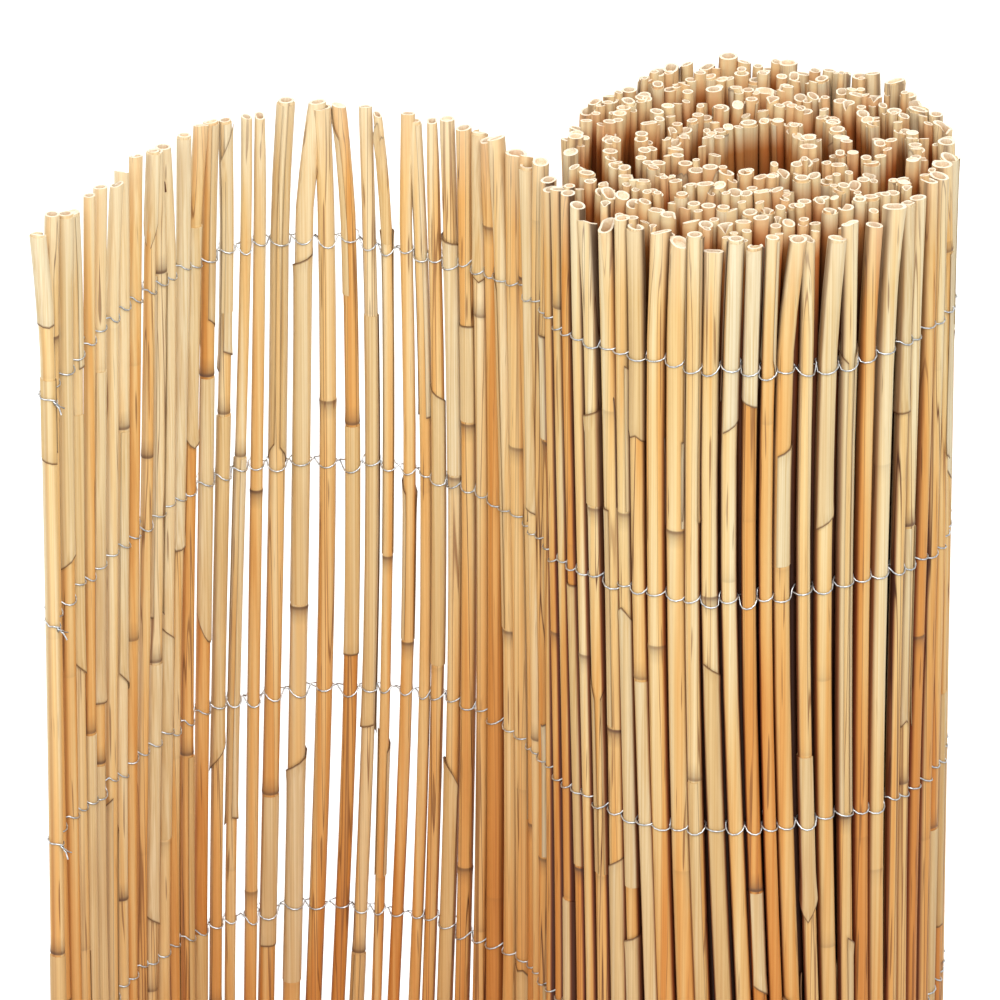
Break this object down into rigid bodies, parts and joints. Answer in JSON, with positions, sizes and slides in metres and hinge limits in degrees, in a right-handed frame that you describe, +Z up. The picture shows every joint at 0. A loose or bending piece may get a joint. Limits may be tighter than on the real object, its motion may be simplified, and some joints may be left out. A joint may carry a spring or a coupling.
{
  "type": "reed screening mat",
  "caption": "Natural reed screening mat bound with galvanised wire, stood on end with an open leaf beside its roll.",
  "frame": {"origin": "on the floor, under the middle of the mat's box", "axes": "+Z up along the reeds, +X from the open leaf towards the roll, -Y out of the leaf's open bay"},
  "size_m": [0.3549, 0.1633, 1],
  "materials": {
    "reed": "dry natural reed, satin",
    "wire": "galvanised"
  },
  "bodies": {
    "root": {"leaf_reeds": "reed", "roll_reeds": "reed", "wire_row_01": "wire", "wire_row_02": "wire", "wire_row_03": "wire", "wire_row_04": "wire", "wire_row_05": "wire", "wire_row_06": "wire", "wire_row_07": "wire", "wire_row_08": "wire", "wire_row_09": "wire", "wire_row_10": "wire"}
  },
  "joints": []
}
